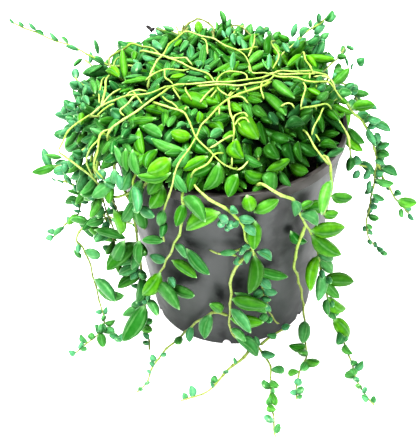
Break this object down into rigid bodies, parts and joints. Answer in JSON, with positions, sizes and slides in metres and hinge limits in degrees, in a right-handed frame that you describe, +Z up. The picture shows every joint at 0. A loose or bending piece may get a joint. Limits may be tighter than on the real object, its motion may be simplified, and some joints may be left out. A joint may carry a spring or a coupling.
{
  "type": "potted string of watermelons plant",
  "caption": "Trailing succulent with striped melon-shaped leaves heaped over a tapered black nursery pot, its stems hanging down the sides and lying out on the surface.",
  "frame": {"origin": "centre of the pot's underside", "axes": "+Z up along the pot's axis, -Y towards the side that the picture shows, +X to its right"},
  "size_m": [0.2262, 0.2371, 0.1817],
  "materials": {
    "pot_plastic": "satin black, softly scuffed",
    "potting_mix": "moist crumbs",
    "foliage": "waxy gloss, bright green with darker bands and pale edges"
  },
  "bodies": {
    "root": {"pot": "pot_plastic", "potting_mix": "potting_mix", "leafy_crown": "foliage", "stem_right": "foliage", "stem_right_upper": "foliage", "stem_right_front": "foliage", "stem_front_right": "foliage", "stem_front_centre": "foliage", "stem_front_left": "foliage", "stem_left_front": "foliage", "stem_left": "foliage", "stem_left_outer": "foliage", "stem_left_inner": "foliage", "stem_left_short": "foliage", "stem_back_1": "foliage", "stem_back_2": "foliage", "stem_back_3": "foliage", "stem_back_4": "foliage", "stem_back_5": "foliage", "stem_back_6": "foliage", "stem_back_7": "foliage", "stem_back_8": "foliage", "stem_back_9": "foliage", "stem_back_10": "foliage"}
  },
  "joints": []
}
